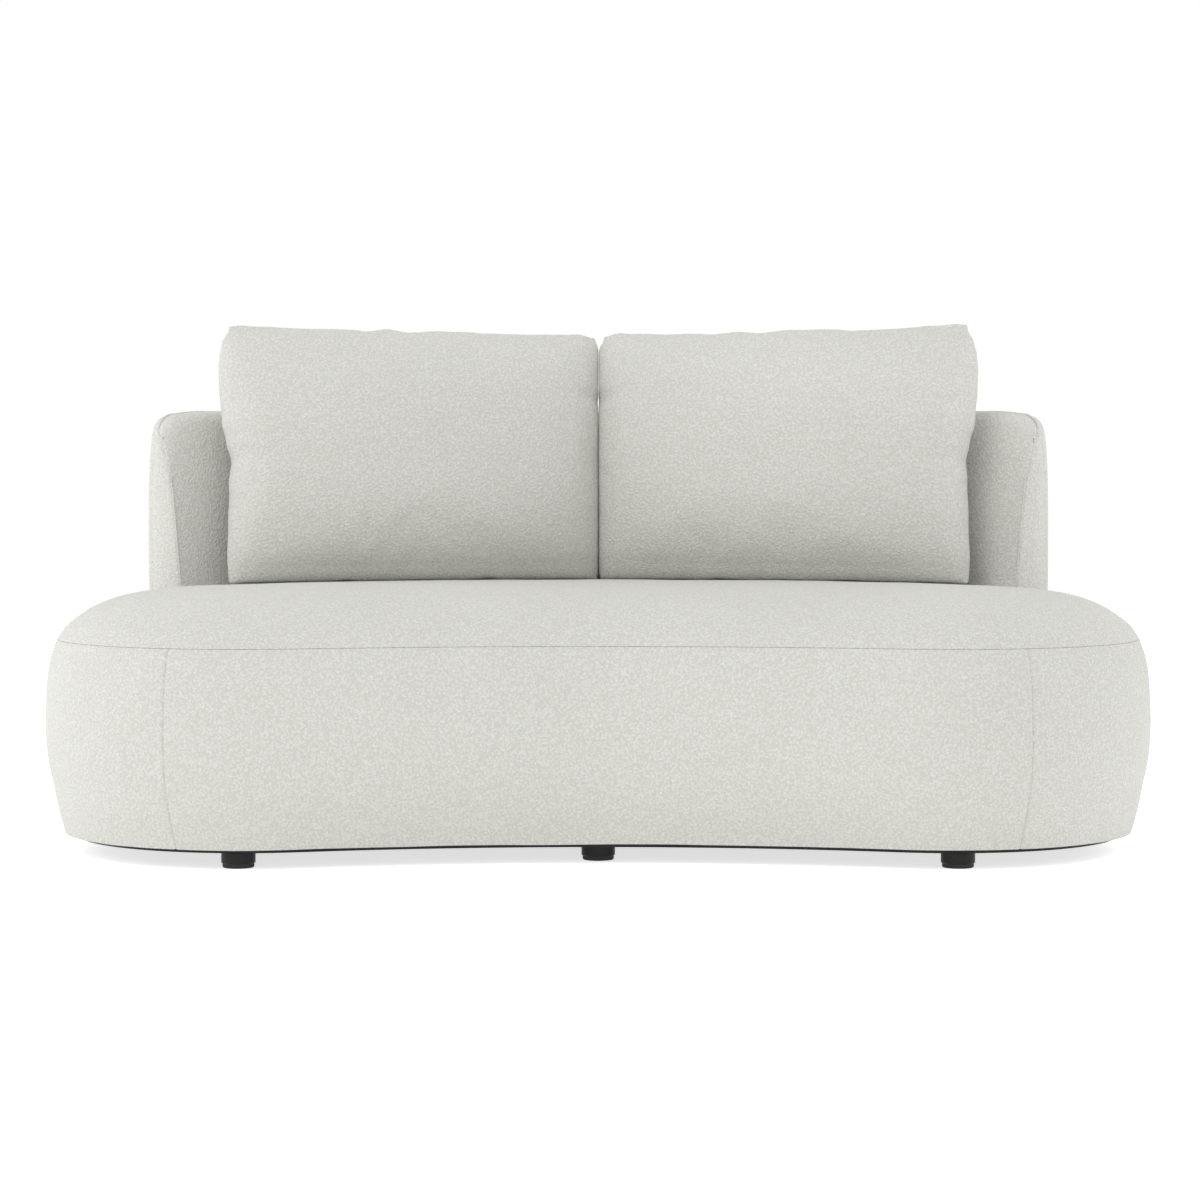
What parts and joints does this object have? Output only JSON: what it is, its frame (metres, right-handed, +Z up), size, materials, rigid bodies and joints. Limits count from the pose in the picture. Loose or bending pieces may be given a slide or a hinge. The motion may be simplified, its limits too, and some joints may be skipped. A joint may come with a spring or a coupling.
{
  "type": "sofa",
  "caption": "Curved two-seat sofa with a kidney-shaped upholstered seat, a low curved back, loose back cushions and short round black feet.",
  "frame": {"origin": "on the floor, under the middle of the sofa's box", "axes": "+X to the right end as seen from the front, +Y to the back, +Z up; the sofa faces -Y"},
  "size_m": [1.952, 1.0019, 0.9243],
  "materials": {
    "cream_boucle": "looped wool pile",
    "black_lacquered_wood": "satin lacquer",
    "black_glide_plastic": "matte",
    "zinc_plated_steel": "zinc plated",
    "pine": "planed",
    "birch_plywood": "sanded",
    "elastic_webbing": "woven",
    "upholstery_foam": "cut foam",
    "fibre_wadding": "bonded fibre",
    "fibre_fill": "loose fibre in ticking",
    "cream_zip_tape": "woven tape",
    "zip_metal": "nickel plated"
  },
  "bodies": {
    "sofa": {"back_board": "birch_plywood", "back_bolts": "zinc_plated_steel", "back_foam": "upholstery_foam", "back_inner_cover": "cream_boucle", "back_ledge": "birch_plywood", "back_left_cover": "cream_boucle", "back_lower_rail": "birch_plywood", "back_outer_cover": "cream_boucle", "back_posts": "birch_plywood", "back_right_cover": "cream_boucle", "back_riser": "birch_plywood", "back_tee_nuts": "zinc_plated_steel", "back_top_rail": "birch_plywood", "base_board": "birch_plywood", "deck_board": "birch_plywood", "foot_blocks": "pine", "foot_bolts": "zinc_plated_steel", "foot_front_left": "black_lacquered_wood", "foot_front_middle": "black_lacquered_wood", "foot_front_right": "black_lacquered_wood", "foot_glides": "black_glide_plastic", "foot_rear_left": "black_lacquered_wood", "foot_rear_middle": "black_lacquered_wood", "foot_rear_right": "black_lacquered_wood", "front_rail": "birch_plywood", "left_rail": "birch_plywood", "plinth_board": "black_lacquered_wood", "rear_foam": "upholstery_foam", "rear_rail": "birch_plywood", "rib_1": "birch_plywood", "rib_2": "birch_plywood", "rib_3": "birch_plywood", "rib_4": "birch_plywood", "right_rail": "birch_plywood", "riser_posts": "birch_plywood", "seat_foam": "upholstery_foam", "seat_front_cover": "cream_boucle", "seat_left_cover": "cream_boucle", "seat_rear_cover": "cream_boucle", "seat_right_cover": "cream_boucle", "seat_top_cover": "cream_boucle", "seat_wadding": "fibre_wadding", "side_foam": "upholstery_foam", "tee_nuts": "zinc_plated_steel", "webbing_cross": "elastic_webbing", "webbing_long": "elastic_webbing"},
    "left_cushion": {"left_cushion_pad": "fibre_fill", "left_cushion_front_cover": "cream_boucle", "left_cushion_rear_cover": "cream_boucle", "left_zip_tape": "cream_zip_tape", "left_zip_coil": "cream_zip_tape"},
    "left_zip_slider": {"left_zip_slider": "zip_metal"},
    "left_zip_pull": {"left_zip_pull": "zip_metal"},
    "right_cushion": {"right_cushion_pad": "fibre_fill", "right_cushion_front_cover": "cream_boucle", "right_cushion_rear_cover": "cream_boucle", "right_zip_tape": "cream_zip_tape", "right_zip_coil": "cream_zip_tape"},
    "right_zip_slider": {"right_zip_slider": "zip_metal"},
    "right_zip_pull": {"right_zip_pull": "zip_metal"}
  },
  "joints": [
    {"name": "left_cushion_lift", "type": "slide", "parent": "sofa", "child": "left_cushion", "axis": [0, 0, 1], "range_m": [0, 0.5]},
    {"name": "left_zip_slide", "type": "slide", "parent": "left_cushion", "child": "left_zip_slider", "axis": [-0.9537, -0.3007, 0], "range_m": [0, 0.3]},
    {"name": "left_zip_pull_hinge", "type": "hinge", "parent": "left_zip_slider", "child": "left_zip_pull", "pos_m": [-0.22614, 0.29067, 0.51893], "axis": [0.1133, -0.3594, -0.9263], "range_deg": [0, 80]},
    {"name": "right_cushion_lift", "type": "slide", "parent": "sofa", "child": "right_cushion", "axis": [0, 0, 1], "range_m": [0, 0.5]},
    {"name": "right_zip_slide", "type": "slide", "parent": "right_cushion", "child": "right_zip_slider", "axis": [0.9537, -0.3007, 0], "range_m": [0, 0.3]},
    {"name": "right_zip_pull_hinge", "type": "hinge", "parent": "right_zip_slider", "child": "right_zip_pull", "pos_m": [0.22614, 0.29067, 0.51893], "axis": [0.1133, 0.3594, 0.9263], "range_deg": [0, 80]}
  ]
}
